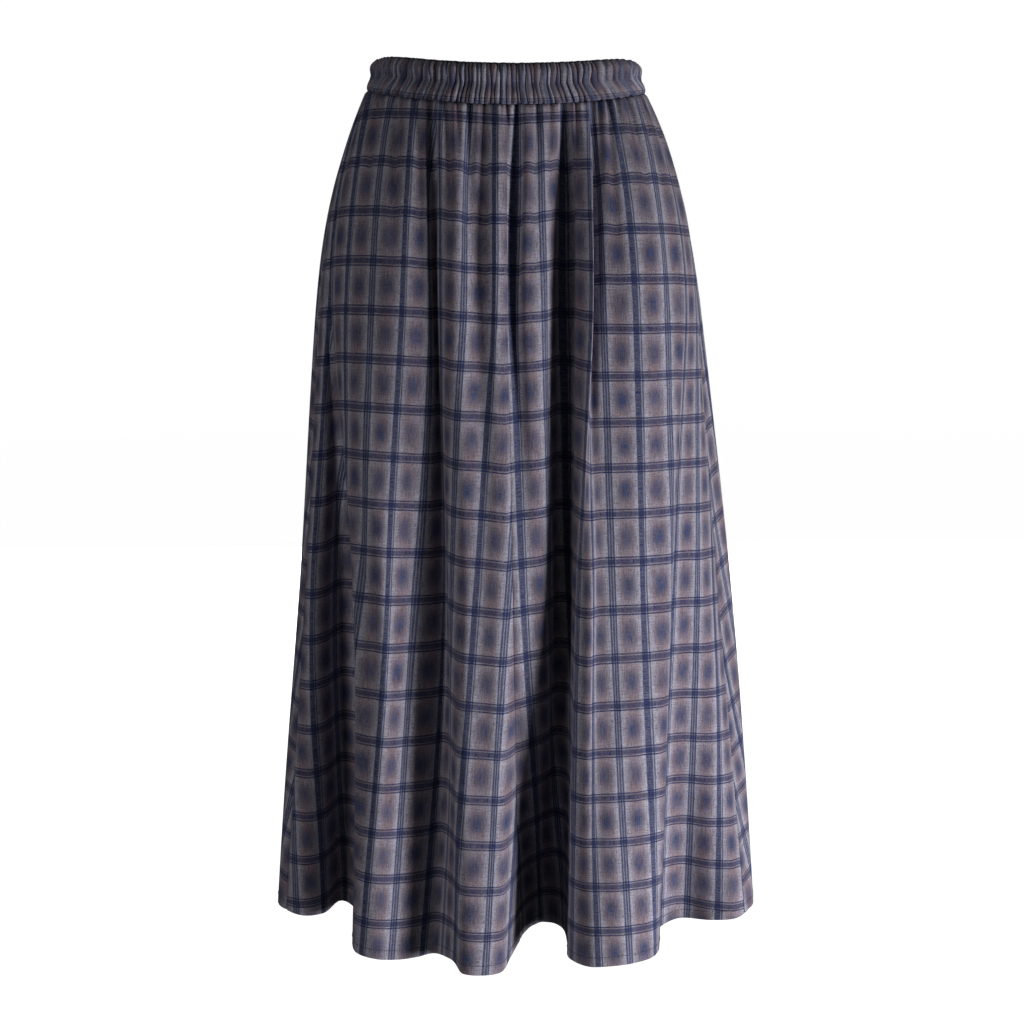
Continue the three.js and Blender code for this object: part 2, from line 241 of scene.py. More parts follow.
class SkirtSizes(bpy.types.PropertyGroup):
    """Sizes of the cut and of the gathers."""

    length: bpy.props.FloatProperty(
        name="Length", description="From the waist seam to the hem along the cloth",
        default=0.833, min=0.3, max=1.2, unit="LENGTH")
    top_half_width: bpy.props.FloatProperty(
        name="Top half width", description="Half the skirt's width at the waist seam",
        default=0.136, unit="LENGTH")
    top_half_depth: bpy.props.FloatProperty(
        name="Top half depth", description="Half the skirt's depth at the waist seam",
        default=0.0965, unit="LENGTH")
    band_height: bpy.props.FloatProperty(
        name="Band height", description="Height of the gathered waistband",
        default=0.04, unit="LENGTH")
    band_half_width: bpy.props.FloatProperty(
        name="Band half width", description="Half the waistband's width at its pinch",
        default=0.1275, unit="LENGTH")
    band_half_depth: bpy.props.FloatProperty(
        name="Band half depth", description="Half the waistband's depth at its pinch",
        default=0.09, unit="LENGTH")
    band_thickness: bpy.props.FloatProperty(
        name="Band thickness", description="Casing and elastic together, between the ridges",
        default=0.0035, unit="LENGTH")
    waist_dip: bpy.props.FloatProperty(
        name="Waist dip", description="How far the waist hangs lower at front and back",
        default=0.0075, unit="LENGTH")
    side_pinch: bpy.props.FloatProperty(
        name="Side pinch", description="How much the band draws in at its top and base at the sides",
        default=0.004, unit="LENGTH")
    waist_tilt: bpy.props.FloatProperty(
        name="Waist tilt", description="How much higher the wearer's right side hangs",
        default=0.0012, unit="LENGTH")
    cloth: bpy.props.FloatProperty(
        name="Cloth thickness", description="Thickness of the brushed cloth",
        default=0.0011, unit="LENGTH")
    back_gathers: bpy.props.IntProperty(
        name="Back gathers", description="Gathers along the back panel's top", default=30, min=8, max=60)
    top_cut: bpy.props.FloatProperty(
        name="Top cut", description="Width of each front panel's top before it is gathered",
        default=0.3, unit="LENGTH")
    hem_cut: bpy.props.FloatProperty(
        name="Hem cut", description="Width of each front panel's hem",
        default=0.48, unit="LENGTH")
    hem_turn: bpy.props.FloatProperty(
        name="Hem turn-up", description="How far the hem is turned up inside",
        default=0.01, unit="LENGTH")
    band_ridges: bpy.props.IntProperty(
        name="Band ridges", description="Gathers round the waistband", default=108, min=20, max=120)
    fineness: bpy.props.FloatProperty(
        name="Fineness", description="Distance between the mesh's points on the cloth",
        default=0.0021, unit="LENGTH")


class CheckCloth(bpy.types.PropertyGroup):
    """Repeats and colours of the shadow check."""

    warp_repeat: bpy.props.FloatProperty(
        name="Warp repeat", description="From one upright stripe to the next",
        default=0.0315, unit="LENGTH")
    weft_repeat: bpy.props.FloatProperty(
        name="Weft repeat", description="From one level bar to the next",
        default=0.0464, unit="LENGTH")
    ground: bpy.props.FloatVectorProperty(
        name="Ground", description="Pale lavender grey between the stripes",
        subtype="COLOR", size=3, default=hex_to_linear("#aba9ba"))
    rose: bpy.props.FloatVectorProperty(
        name="Rose", description="Dusty rose that shows through the ground",
        subtype="COLOR", size=3, default=hex_to_linear("#99858a"))
    halo: bpy.props.FloatVectorProperty(
        name="Halo", description="Brown halo round the shaded squares",
        subtype="COLOR", size=3, default=hex_to_linear("#745f66"))
    shadow: bpy.props.FloatVectorProperty(
        name="Shadow", description="Slate of the soft shaded squares",
        subtype="COLOR", size=3, default=hex_to_linear("#3f496d"))
    navy: bpy.props.FloatVectorProperty(
        name="Navy", description="Navy of the stripes and bars",
        subtype="COLOR", size=3, default=hex_to_linear("#1b2756"))


class StageLook(bpy.types.PropertyGroup):
    """The camera's place, the floor and the lights."""

    distance: bpy.props.FloatProperty(
        name="Camera distance", description="From the camera to the middle of the skirt",
        default=2.4, unit="LENGTH")
    elevation: bpy.props.FloatProperty(
        name="Camera elevation", description="How far the camera looks down",
        default=math.radians(10.5), subtype="ANGLE")
    target_x: bpy.props.FloatProperty(
        name="Target across", description="Point at the middle of the picture, across",
        default=0.0058, unit="LENGTH")
    target_z: bpy.props.FloatProperty(
        name="Target height", description="Point at the middle of the picture, in height",
        default=-0.427, unit="LENGTH")
    cove_radius: bpy.props.FloatProperty(
        name="Cove radius", description="From the skirt to the paper wall",
        default=6.0, unit="LENGTH")
    room_light: bpy.props.FloatProperty(
        name="Room light", description="Strength of the dim light from all round", default=0.042)
    key_power: bpy.props.FloatProperty(
        name="Key power", description="Power of the soft box at the right", default=30.2, unit="POWER")
    fill_power: bpy.props.FloatProperty(
        name="Fill power", description="Power of the soft box at the left", default=10.8, unit="POWER")
    rear_power: bpy.props.FloatProperty(
        name="Rear power", description="Power of the soft box behind, which lights the back panel alone",
        default=30.0, unit="POWER")
    floor_drop: bpy.props.FloatProperty(
        name="Floor drop", description="How far the floor lies below the hem",
        default=0.12, unit="LENGTH")


def sizes():
    return bpy.context.scene.skirt_sizes


def check_cloth():
    return bpy.context.scene.skirt_check


def stage_look():
    return bpy.context.scene.skirt_stage


def add_object(name, data):
    """Puts a mesh, a lamp or a camera into the scene."""
    thing = bpy.data.objects.new(name, data)
    bpy.context.scene.collection.objects.link(thing)
    return thing


# Shape of the cloth


def along_fold(values, share):
    """Values at the four stations, carried smoothly to each share of the length.

    The cloth leaves the waist steeply where the gathers spring out, then runs nearly straight."""
    waist_spring = 2.2
    values = np.asarray(values, dtype=float)
    share = np.asarray(share, dtype=float)
    spans = np.diff(STATIONS)
    slopes = np.diff(values, axis=-1) / spans
    tangents = np.stack([
        waist_spring * slopes[..., 0],
        slopes[..., 1],
        (slopes[..., 1] + slopes[..., 2]) / 2,
        slopes[..., 2],
    ], axis=-1)
    result = np.zeros(share.shape + values.shape[:-1])
    for i, s in enumerate(share):
        k = 0 if s < STATIONS[1] else 1 if s < STATIONS[2] else 2
        f = (s - STATIONS[k]) / spans[k]
        ease = f * f * (3 - 2 * f)
        leaving = f * (1 - f) ** 2 * spans[k] * tangents[..., k]
        arriving = f * f * (f - 1) * spans[k] * tangents[..., k + 1]
        result[i] = values[..., k] + (values[..., k + 1] - values[..., k]) * ease + leaving + arriving
    return result


def fold_points(shares):
    """The fold lines' places in plan, in metres, at each share: (shares, lines, 2)."""
    size = sizes()
    across = []
    out = []
    for line in FOLD_LINES:
        angle = math.radians(line.waist)
        below = (line.hip, line.knee, line.hem)
        across.append([size.top_half_width * math.cos(angle)] + [x * MM for x, _ in below])
        out.append([size.top_half_depth * math.sin(angle)] + [y * MM for _, y in below])
    return np.stack([along_fold(across, shares), -along_fold(out, shares)], axis=-1)


def closed_curve(points, places):
    """A centripetal Catmull-Rom curve through closed rows of points, with its slope at each place."""
    index = np.floor(places).astype(int)
    weight = (places - index)[None, :, None]
    p0, p1, p2, p3 = (points[:, (index + k) % WHOLE_WAY] for k in (-1, 0, 1, 2))
    d0, d1, d2 = (
        np.maximum(np.sqrt(np.linalg.norm(b - a, axis=-1, keepdims=True)), 1e-6)
        for a, b in ((p0, p1), (p1, p2), (p2, p3))
    )
    t1 = ((p1 - p0) / d0 - (p2 - p0) / (d0 + d1) + (p2 - p1) / d1) * d1
    t2 = ((p2 - p1) / d1 - (p3 - p1) / (d1 + d2) + (p3 - p2) / d2) * d1
    c2 = -3 * p1 + 3 * p2 - 2 * t1 - t2
    c3 = 2 * p1 - 2 * p2 + t1 + t2
    where = p1 + weight * (t1 + weight * (c2 + weight * c3))
    slope = t1 + weight * (2 * c2 + 3 * weight * c3)
    return where, slope / np.maximum(np.linalg.norm(slope, axis=-1, keepdims=True), 1e-9)


def waist_angles(places):
    """Degrees on the waist's oval at places along the fold lines."""
    angles = [line.waist for line in FOLD_LINES] + [FOLD_LINES[0].waist - 360]
    return np.interp(places, np.arange(WHOLE_WAY + 1), angles)


def waist_rise(degrees):
    """The waist hangs low at front and back and high at the sides."""
    size = sizes()
    angle = np.radians(degrees)
    return -size.waist_dip * np.sin(angle) ** 2 - size.waist_tilt * np.cos(angle)


def seam_rise(degrees):
    """How far the waist seam lies above the level that waist_rise gives: most at the sides."""
    lift = 4.2 * MM
    pinch_share = 0.6
    return lift + sizes().side_pinch * pinch_share * np.cos(np.radians(degrees)) ** 2


def smooth_step(x):
    """From 0 to 1 as x does, leaving and arriving level."""
    x = np.clip(x, 0, 1)
    return x * x * (3 - 2 * x)


def groove_field(across, down, grooves):
    """Soft grooves that run down from the seam. across is each point's way round from the panel's edge,
    and a groove is (its own way round at each height, depth, reach). A deep one is a wide one, and each
    widens as it runs down."""
    least_width = 0.0011
    width_to_depth = 0.38
    widening = 0.02
    fade_curve = 1.15
    total = np.zeros(across.shape)
    for where, depth, reach in grooves:
        fade = np.clip(1 - down / reach, 0, 1) ** fade_curve
        wide = least_width + width_to_depth * depth + widening * down
        away = (across - where[:, None]) / wide[:, None]
        total += depth * fade[:, None] * np.exp(-away * away)
    return total


def drape_noise(along, down, seed, waves):
    """Slight unevenness of cloth that has been worn. Each row of waves is (length across, length down,
    height) in metres, and gives a few waves of about that size with random phases."""
    waves_each = 4
    random = np.random.RandomState(seed)
    total = np.zeros((len(down), len(along)))
    for across_length, down_length, height in waves:
        for _ in range(waves_each):
            kx = 2 * math.pi / across_length * random.uniform(0.7, 1.3)
            ky = 2 * math.pi / down_length * random.uniform(-1.2, 1.2)
            phase = random.uniform(0, 2 * math.pi)
            total += height / 2 * np.sin(kx * along[None, :] + ky * down[:, None] + phase)
    return total


def column_places(cut, fineness):
    """Places along the fold lines, spaced for the level where two lines lie furthest apart."""
    least_steps = 3
    near_waist, midway, hem = 0.05, 0.5, 1.0
    points = fold_points(np.array([near_waist, midway, hem]))
    places = []
    for line in range(cut.start, cut.end):
        span = points[:, (line + 1) % WHOLE_WAY] - points[:, line % WHOLE_WAY]
        steps = max(least_steps, round(float(np.linalg.norm(span, axis=-1).max()) / fineness))
        places.extend(line + np.arange(steps) / steps)
    places.append(cut.end)
    return np.array(places)


def row_shares(length, fineness):
    """Shares of the length at which the rows of points lie, crowded at the seam and sparse at the hem."""
    at_seam = [0, 0.0008, 0.0018, 0.0032, 0.005, 0.0072]
    first = 0.01
    crowding = 1.35
    row_to_column = 3.1
    rows = int(length / (row_to_column * fineness))
    return np.concatenate([at_seam, first + (1 - first) * (np.arange(rows + 1) / rows) ** crowding])


def way_round(points):
    """Each point's distance along its row from the row's first point."""
    steps = np.linalg.norm(np.diff(points, axis=1), axis=-1)
    return np.concatenate([np.zeros((len(points), 1)), np.cumsum(steps, axis=1)], axis=1)


def panel_gathers(cut, random):
    """The panel's gathers as (waist place in degrees, depth, reach): measured in front, even behind."""
    start, end = waist_angles(np.array([cut.start, cut.end]))
    if cut.name != "skirt_back":
        return [(g.waist, g.depth * MM, g.reach * MM) for g in FRONT_GATHERS if end < g.waist < start]
    count = sizes().back_gathers
    off_centre = 0.28
    least_depth, most_depth = 3, 8
    reaches = [80, 110, 150, 200, 280]
    gathers = []
    for i in range(count):
        waist = start + (end - start) * (i + 0.5 + random.uniform(-off_centre, off_centre)) / count
        depth = random.uniform(least_depth, most_depth) * MM
        gathers.append((waist, depth, random.choice(reaches) * MM))
    return gathers


def stripe_places(cut, places, shares, across):
    """Way across the cut cloth in metres, so that the check's stripes lie as on the real folds."""
    repeat = check_cloth().warp_repeat
    if cut.name == "skirt_back":
        # Behind, the flare is part in the cut and part in the gathers, so that the stripes fan a little
        fanned = 0.4
        width = across[:, -1:]
        fullness = fanned * width + (1 - fanned) * np.interp(0.5, shares, width[:, 0])
        return (across / width - 0.5) * fullness
    rows = [FOLD_LINES[i].stripes for i in range(cut.start, cut.end + 1)]
    if cut.first_stripes:
        rows[0] = cut.first_stripes
    counts = along_fold(rows, shares)
    lines = np.arange(cut.start, cut.end + 1)
    placed = np.array([np.interp(places, lines, row) for row in counts])
    return placed * repeat


def check_drop(cut, places, down):
    """How far the check hangs below the level cut, in metres: the right half of the front hangs low."""
    low_drop = 0.013
    low_until = 0.2
    fades_over = 0.22
    lip = FOLD_NAMES.index("narrow_pleat_lip")
    low = np.clip(places - lip, 0, 1) if cut.name == "skirt_front_left" else np.zeros(len(places))
    hip_drop = low_drop * (1 - smooth_step((down - low_until) / fades_over))
    level_drop = np.interp(down, [row.down for row in CHECK_DROPS], [row.drop * MM for row in CHECK_DROPS])
    return hip_drop[:, None] * low[None, :] + level_drop[:, None]


def panel_relief(cut, places, across, down):
    """How far the cloth stands out from the smooth fold, and the depth of the gathers in that."""
    random = np.random.RandomState(cut.seed)
    degrees = waist_angles(places)

    def groove(waist, depth, reach):
        place = np.interp(-waist, -degrees, places)
        return np.array([np.interp(place, places, row) for row in across]), depth, reach

    gathers = groove_field(across, down, [groove(*g) for g in panel_gathers(cut, random)])

    # Tiny puckers against the seam
    pucker_spacing = 0.0052
    puckers = []
    for waist in np.linspace(degrees[0], degrees[-1], int(across[0, -1] / pucker_spacing)):
        puckers.append(groove(
            waist + random.uniform(-1, 1), random.uniform(0.7, 2.0) * MM, random.uniform(14, 48) * MM))
    puckers = groove_field(across, down, puckers)

    # The fullness stands off below the seam at front and back, and the seam itself is tucked in
    stand_height, stand_length = 0.0032, 0.11
    tuck_depth, tuck_length = 0.0016, 0.0032
    facing = np.sin(np.radians(degrees)) ** 2
    stand = (stand_height * np.clip(1 - down / stand_length, 0, 1) ** 1.5)[:, None] * facing
    tuck = (tuck_depth * np.clip(1 - down / tuck_length, 0, 1) ** 2)[:, None]

    # The drape leaves the seams alone, so that two panels meet, and each seam's edge rolls in
    drape_from_waist, drape_from_edge = 0.15, 0.015
    roll_depth, roll_width = 0.0011, 0.0022
    drape = drape_noise(
        across.mean(axis=0), down, cut.seed + 50, [(0.06, 0.45, 0.0009), (0.028, 0.22, 0.00035)])
    edge = np.minimum(across, across[:, -1:] - across)
    drape *= smooth_step(down / drape_from_waist)[:, None] * smooth_step(edge / drape_from_edge)
    roll = roll_depth * np.exp(-(edge / roll_width) ** 2)
    return stand - puckers - gathers - tuck + drape - roll, gathers


def panel_check(cut, places, shares, across, gathers):
    """The check's coordinates in metres: its upright stripes follow the folds, and its level bars the
    flat cut, where the panel is a sector and the bars are straight."""
    size = sizes()
    down = shares * size.length
    spread = (size.hem_cut - size.top_cut) / size.length * cut.widths
    ray = size.top_cut * cut.widths / spread + down
    lean = spread * (cut.sector_start + across / across[:, -1:])

    # Each gather draws the cloth in, so the bars dip where it is deep, but not along the seam itself
    dip_to_depth = 0.75
    dip_from_waist = 0.07
    dip = dip_to_depth * gathers * smooth_step(down / dip_from_waist)[:, None]
    bars = ray[:, None] * np.cos(lean) - ray[0] - check_drop(cut, places, down) - dip
    return np.stack([stripe_places(cut, places, shares, across), bars], axis=-1)


def panel_grid(cut):
    """Points and check coordinates of one panel's right side: (rows, columns, 3) and (rows, columns, 2)."""
    size = sizes()
    coarser_behind = 1.45
    fineness = size.fineness * (coarser_behind if cut.name == "skirt_back" else 1.0)
    places = column_places(cut, fineness)
    shares = row_shares(size.length, fineness)
    where, slope = closed_curve(fold_points(shares), places)
    outward = np.stack([slope[..., 1], -slope[..., 0]], axis=-1)
    across = way_round(where)
    relief, gathers = panel_relief(cut, places, across, shares * size.length)

    # A fold that runs outwards hangs less far down, because the cloth's length is the same
    drift = np.linalg.norm(where[-1] - where[0], axis=-1)
    drop = np.sqrt(size.length ** 2 - drift ** 2)
    degrees = waist_angles(places)
    seam_gap = 0.3 * MM
    top = -size.band_height / 2 - seam_gap + waist_rise(degrees)
    points = np.zeros(where.shape[:2] + (3,))
    points[..., :2] = where + outward * relief[..., None]
    points[..., 2] = top[None, :] - drop[None, :] * shares[:, None]
    points[..., 2] += seam_rise(degrees)[None, :] * (1 - shares[:, None])
    return points, panel_check(cut, places, shares, across, gathers), outward


def hem_turn_rows(points, uv, outward):
    """The hem's turn-up: the cloth rounds the bottom edge and runs up inside."""
    size = sizes()
    air = 0.3 * MM
    layer = 2 * size.cloth + air
    rows = []
    cloths = []
    for turn in (0.25, 0.5, 0.75, 1.0):
        angle = turn * math.pi
        row = points[-1].copy()
        row[:, :2] -= outward[-1] * layer / 2 * (1 - math.cos(angle))
        row[:, 2] -= layer / 2 * math.sin(angle)
        rows.append(row)
        cloth = uv[-1].copy()
        cloth[:, 1] += layer / 2 * angle
        cloths.append(cloth)
    rounded_row, rounded_cloth = rows[-1], cloths[-1]
    for up in (0.35, 0.7, 1.0):
        row = rounded_row.copy()
        row[:, 2] += size.hem_turn * up
        rows.append(row)
        cloth = rounded_cloth.copy()
        cloth[:, 1] += size.hem_turn * up
        cloths.append(cloth)
    return np.concatenate([points, np.stack(rows)]), np.concatenate([uv, np.stack(cloths)])


def grid_mesh(name, points, uv, closed):
    """A mesh of quads from rows of points, its faces towards the outside, with the cloth's own UV map."""
    rows, columns = points.shape[:2]
    index = np.arange(rows * columns).reshape(rows, columns)
    right = np.roll(index, -1, axis=1) if closed else index[:, 1:]
    left = index if closed else index[:, :-1]
    quads = np.stack([left[:-1], left[1:], right[1:], right[:-1]], axis=-1).reshape(-1, 4)
    mesh = bpy.data.meshes.new(name)
    mesh.from_pydata(points.reshape(-1, 3).tolist(), [], quads.tolist())
    layer = mesh.uv_layers.new(name="cloth")
    flat = uv.reshape(-1, 2)
    corner = np.zeros(len(mesh.loops), dtype=np.int32)
    mesh.loops.foreach_get("vertex_index", corner)
    corner_uv = flat[corner]
    if closed:
        # The quads that join the last column to the first end a whole way round further on
        whole = np.ptp(flat[:, 0])
        turn = corner_uv.reshape(-1, 4, 2)
        wrapped = turn[:, 0, 0] - turn[:, 3, 0] > 0.5 * whole
        turn[wrapped, 2:, 0] += whole * columns / (columns - 1)
        corner_uv = turn.reshape(-1, 2)
    layer.data.foreach_set("uv", corner_uv.ravel().astype(np.float32))
    mesh.polygons.foreach_set("use_smooth", [True] * len(mesh.polygons))
    mesh.update()
    return add_object(name, mesh)


def apply_modifiers(piece):
    """Makes what the piece's modifiers give its own plain mesh."""
    depsgraph = bpy.context.evaluated_depsgraph_get()
    done = bpy.data.meshes.new_from_object(piece.evaluated_get(depsgraph))
    piece.modifiers.clear()
    old = piece.data
    piece.data = done
    done.name = piece.name
    bpy.data.meshes.remove(old)


def give_thickness(piece, thickness):
    """Turns a single layer of cloth into a wall on its inner side."""
    solid = piece.modifiers.new("cloth", "SOLIDIFY")
    solid.thickness = thickness
    solid.offset = -1
    solid.use_rim = True
    apply_modifiers(piece)


# Shape of the waistband


def ridge_phase(angle):
    """Each column's place among the ridges, as a share of them all.

    Seen from the front they are narrow on the wearer's right and broader on the left."""
    size = sizes()
    middle_spacing = 5.8
    wider_to_left = 1.2
    widest = 11 * MM
    behind = 10 * MM
    across = size.band_half_width * np.cos(angle)
    forward = size.band_half_depth * np.sin(angle)
    sideways = np.abs(np.roll(across, -1) - across)
    step = np.hypot(sideways, np.roll(forward, -1) - forward)
    spacing = (middle_spacing + wider_to_left * across / size.band_half_width) * MM
    density = np.where(forward > 0, np.maximum(sideways / spacing, step / widest), step / behind)
    return np.concatenate([[0], np.cumsum(density)[:-1]]) / density.sum()


def band_section():
    """The band's section, from the base up the outside, over the top and down the inside: each row's
    height as a share, how far out it lies, and how much of the band's thickness lies outside it."""
    outer_rows = 23
    inner_rows = 9
    heights = np.concatenate([
        np.linspace(0, 1, outer_rows), [1.03, 1.02], np.linspace(0.98, 0.02, inner_rows)])
    out = np.interp(heights, [row.height for row in BAND_PROFILE], [row.out * MM for row in BAND_PROFILE])
    smoothing = np.array([0.25, 0.5, 0.25])
    smooth = np.convolve(np.pad(out[:outer_rows], 1, mode="edge"), smoothing, mode="valid")
    out[1:outer_rows - 1] = smooth[1:-1]
    inside = np.zeros(len(heights))
    inside[outer_rows:] = [0.4, 0.8] + [1.0] * inner_rows
    return heights, out, inside


def band_grid():
    """Points of the gathered band, their check coordinates, and the length of the casing's section."""
    size = sizes()
    ridges = size.band_ridges
    columns_each = 11
    columns = ridges * columns_each
    turn = np.arange(columns) / columns
    degrees = 180 - 360 * turn
    angle = np.radians(degrees)
    phase = ridge_phase(angle)

    # No groove between two ridges is quite upright or quite even
    groove_depth = 8.2 * MM
    groove_width = 0.19
    groove_curve = 1.1
    ridge_stand = 2.2 * MM
    inner_depth = 0.35
    fan = 4.2
    rim_height = 0.6 * MM
    rim_width = 0.08
    random = np.random.RandomState(21)
    edges = (np.arange(ridges) + random.uniform(-0.27, 0.27, ridges)) / ridges
    depths = random.uniform(0.55, 1.3, ridges)
    bends = random.uniform(-0.14, 0.14, (ridges, 3)) / ridges

    # The top is drawn in at the sides alone
    drawn_in = 1.5 * size.side_pinch * np.cos(angle) ** 12
    heights, out, inside = band_section()
    points = np.zeros((len(heights), columns, 3))
    leans = np.zeros((len(heights), columns))
    for row, height in enumerate(heights):
        leans[row] = fan * np.cos(2 * math.pi * turn) / ridges * max(0.5 - height, 0)
        sway_shape = (height - 0.5, math.sin(math.pi * height), math.sin(5 * height))
        groove = np.zeros(columns)
        for edge, depth, bend in zip(edges, depths, bends):
            sway = bend[0] * sway_shape[0] + bend[1] * sway_shape[1] + bend[2] * sway_shape[2]
            gap = (phase + leans[row] - edge - sway + 0.5) % 1 - 0.5
            groove += depth * np.exp(-np.abs(gap * ridges / groove_width) ** groove_curve)
        raised = ridge_stand - groove_depth * groove * (inner_depth if inside[row] > 0 else 1.0)
        shift = out[row] - inside[row] * size.band_thickness + raised
        points[row, :, 0] = (size.band_half_width + shift) * np.cos(angle)
        points[row, :, 1] = -(size.band_half_depth + shift) * np.sin(angle)
        rim = rim_height * np.clip(1 - abs(height - 1) / rim_width, 0, 1) * (1 - groove)
        points[row, :, 2] = (height - 0.5) * size.band_height + waist_rise(degrees) + rim
        points[row, :, 2] += seam_rise(degrees) * (1 - min(height, 1)) - drawn_in * min(height, 1)

    # The casing is cut longer than the waist, so its check is gathered up, and leans with the ridges
    step = np.linalg.norm(np.diff(np.concatenate([points, points[:, :1]], axis=1), axis=1), axis=-1)
    step = step.mean(axis=0)
    around = (np.cumsum(step) - step) / step.sum()
    climb = np.linalg.norm(np.diff(points, axis=0), axis=-1).mean(axis=1)
    rise = np.concatenate([[0], np.cumsum(climb)])
    phases = np.concatenate([phase - 1, phase, phase + 1])
    places = np.concatenate([around - 1, around, around + 1])
    first_bar = 0.002
    uv = np.zeros((len(heights), columns, 2))
    uv[..., 0] = np.interp(phase[None, :] + leans, phases, places) * BAND_CUT
    uv[..., 1] = first_bar - rise[:, None]
    return points, uv, float(rise[-1])


# Materials


def add_node(tree, kind, *values, named=None, **settings):
    """Adds a node, sets its properties, and fills its inputs, in order or by name, with values or links."""
    node = tree.nodes.new(kind)
    for name, value in settings.items():
        setattr(node, name, value)
    in_order = [socket for socket in node.inputs if socket.enabled]
    by_name = {node.inputs[name]: value for name, value in (named or {}).items()}
    for socket, value in [*zip(in_order, values), *by_name.items()]:
        if isinstance(value, bpy.types.Node):
            value = next(output for output in value.outputs if output.enabled)
        if isinstance(value, bpy.types.NodeSocket):
            tree.links.new(value, socket)
        else:
            socket.default_value = value
    return node


def blank_material(name):
    """A new material with an empty node tree, and add_node set up for that tree."""
    material = bpy.data.materials.new(name)
    material.use_nodes = True
    material.node_tree.nodes.clear()
    return material, functools.partial(add_node, material.node_tree)


def stripe(node, place, centre, half_width, repeat, soft=0.55):
    """One line of the check in mm: 1 inside half_width of each repeat of centre, and 0 outside."""
    moved = node("ShaderNodeMath", place, centre, operation="SUBTRACT")
    away = node("ShaderNodeMath", moved, repeat / 2, operation="PINGPONG")
    return node(
        "ShaderNodeMapRange", away, half_width - soft, half_width + soft, 1.0, 0.0,
        interpolation_type="SMOOTHSTEP")


def uneven_dye(node, in_mm, waves, detail, roughness=0.5):
    """Cloudy noise on the cloth. waves is how many clouds lie in each mm: across, down and through."""
    stretched = node("ShaderNodeVectorMath", in_mm, waves, operation="MULTIPLY")
    return node("ShaderNodeTexNoise", stretched, named={
        "Scale": 1.0,
        "Detail": detail,
        "Roughness": roughness,
    })


def warp_stripes(node, across, warp):
    """Stripes along the warp: a full one with two light yarns in it, and a split one, in turn."""
    full = stripe(node, across, 0.0, 3.5, 2 * warp)
    for centre in (1.35, -1.35):
        light = stripe(node, across, centre, 0.45, 2 * warp, 0.4)
        dimmed = node("ShaderNodeMath", light, -0.6, 1.0, operation="MULTIPLY_ADD")
        full = node("ShaderNodeMath", full, dimmed, operation="MULTIPLY")
    broad = stripe(node, across, warp - 0.85, 2.8, 2 * warp)
    thin_side = stripe(node, across, warp + 3.3, 0.6, 2 * warp)
    split = node("ShaderNodeMath", broad, thin_side, operation="MAXIMUM")
    return node("ShaderNodeMath", full, split, operation="MAXIMUM")


def weft_bars(node, down, weft):
    """Bars along the weft: a mottled band between two thin lines."""
    band = stripe(node, down, 0.0, 2.7, weft, 0.8)
    band = node("ShaderNodeMath", band, 0.75, operation="MULTIPLY")
    for centre in (4.3, -4.3):
        thin = stripe(node, down, centre, 0.7, weft)
        thin = node("ShaderNodeMath", thin, 0.9, operation="MULTIPLY")
        band = node("ShaderNodeMath", band, thin, operation="MAXIMUM")
    return band


def ground_and_shadows(node, in_mm, across, down, weft_yarn):
    """The colour between the lines: a rosy ground, and soft slate squares in a brown halo, midway
    between the stripes and between the bars."""
    check = check_cloth()
    warp = check.warp_repeat / MM
    weft = check.weft_repeat / MM
    soft_warp = stripe(node, across, warp / 2, 6.0, warp, 5.4)
    soft_weft = stripe(node, down, weft / 2, 9.0, weft, 8.0)
    halo_warp = stripe(node, across, warp / 2, 8.0, warp, 5.0)
    halo_weft = stripe(node, down, weft / 2, 13.0, weft, 9.0)
    cloudy = uneven_dye(node, in_mm, (0.05, 0.03, 1.0), 3.0, 0.6)
    cloudy = node("ShaderNodeMapRange", cloudy, 0.3, 0.62, 0.45, 1.0)
    rosy = node("ShaderNodeMath", halo_warp, cloudy, operation="MULTIPLY")
    colour = node("ShaderNodeMix", rosy, (*check.ground, 1), (*check.rose, 1), data_type="RGBA")
    brown = node("ShaderNodeMath", halo_warp, halo_weft, operation="MULTIPLY")
    brown = node("ShaderNodeMath", brown, 0.42, operation="MULTIPLY")
    colour = node("ShaderNodeMix", brown, colour, (*check.halo, 1), data_type="RGBA")

    # The slate is deepest in the squares, with a trace of it all along the rows between the lines
    patchy = uneven_dye(node, in_mm, (0.027, 0.021, 1.0), 2.0)
    patchy = node("ShaderNodeMapRange", patchy, 0.32, 0.62, 0.3, 0.68)
    square = node("ShaderNodeMath", soft_warp, soft_weft, operation="MULTIPLY")
    square = node("ShaderNodeMath", square, patchy, operation="MULTIPLY")
    shade = node("ShaderNodeMath", soft_weft, 0.1, operation="MULTIPLY")
    shade = node("ShaderNodeMath", soft_warp, 0.2, shade, operation="MULTIPLY_ADD")
    shade = node("ShaderNodeMath", square, shade, operation="ADD")
    streaky = node("ShaderNodeMapRange", weft_yarn, 0.3, 0.7, 0.6, 1.4)
    shade = node("ShaderNodeMath", shade, streaky, operation="MULTIPLY", use_clamp=True)
    return node("ShaderNodeMix", shade, colour, (*check.shadow, 1), data_type="RGBA")


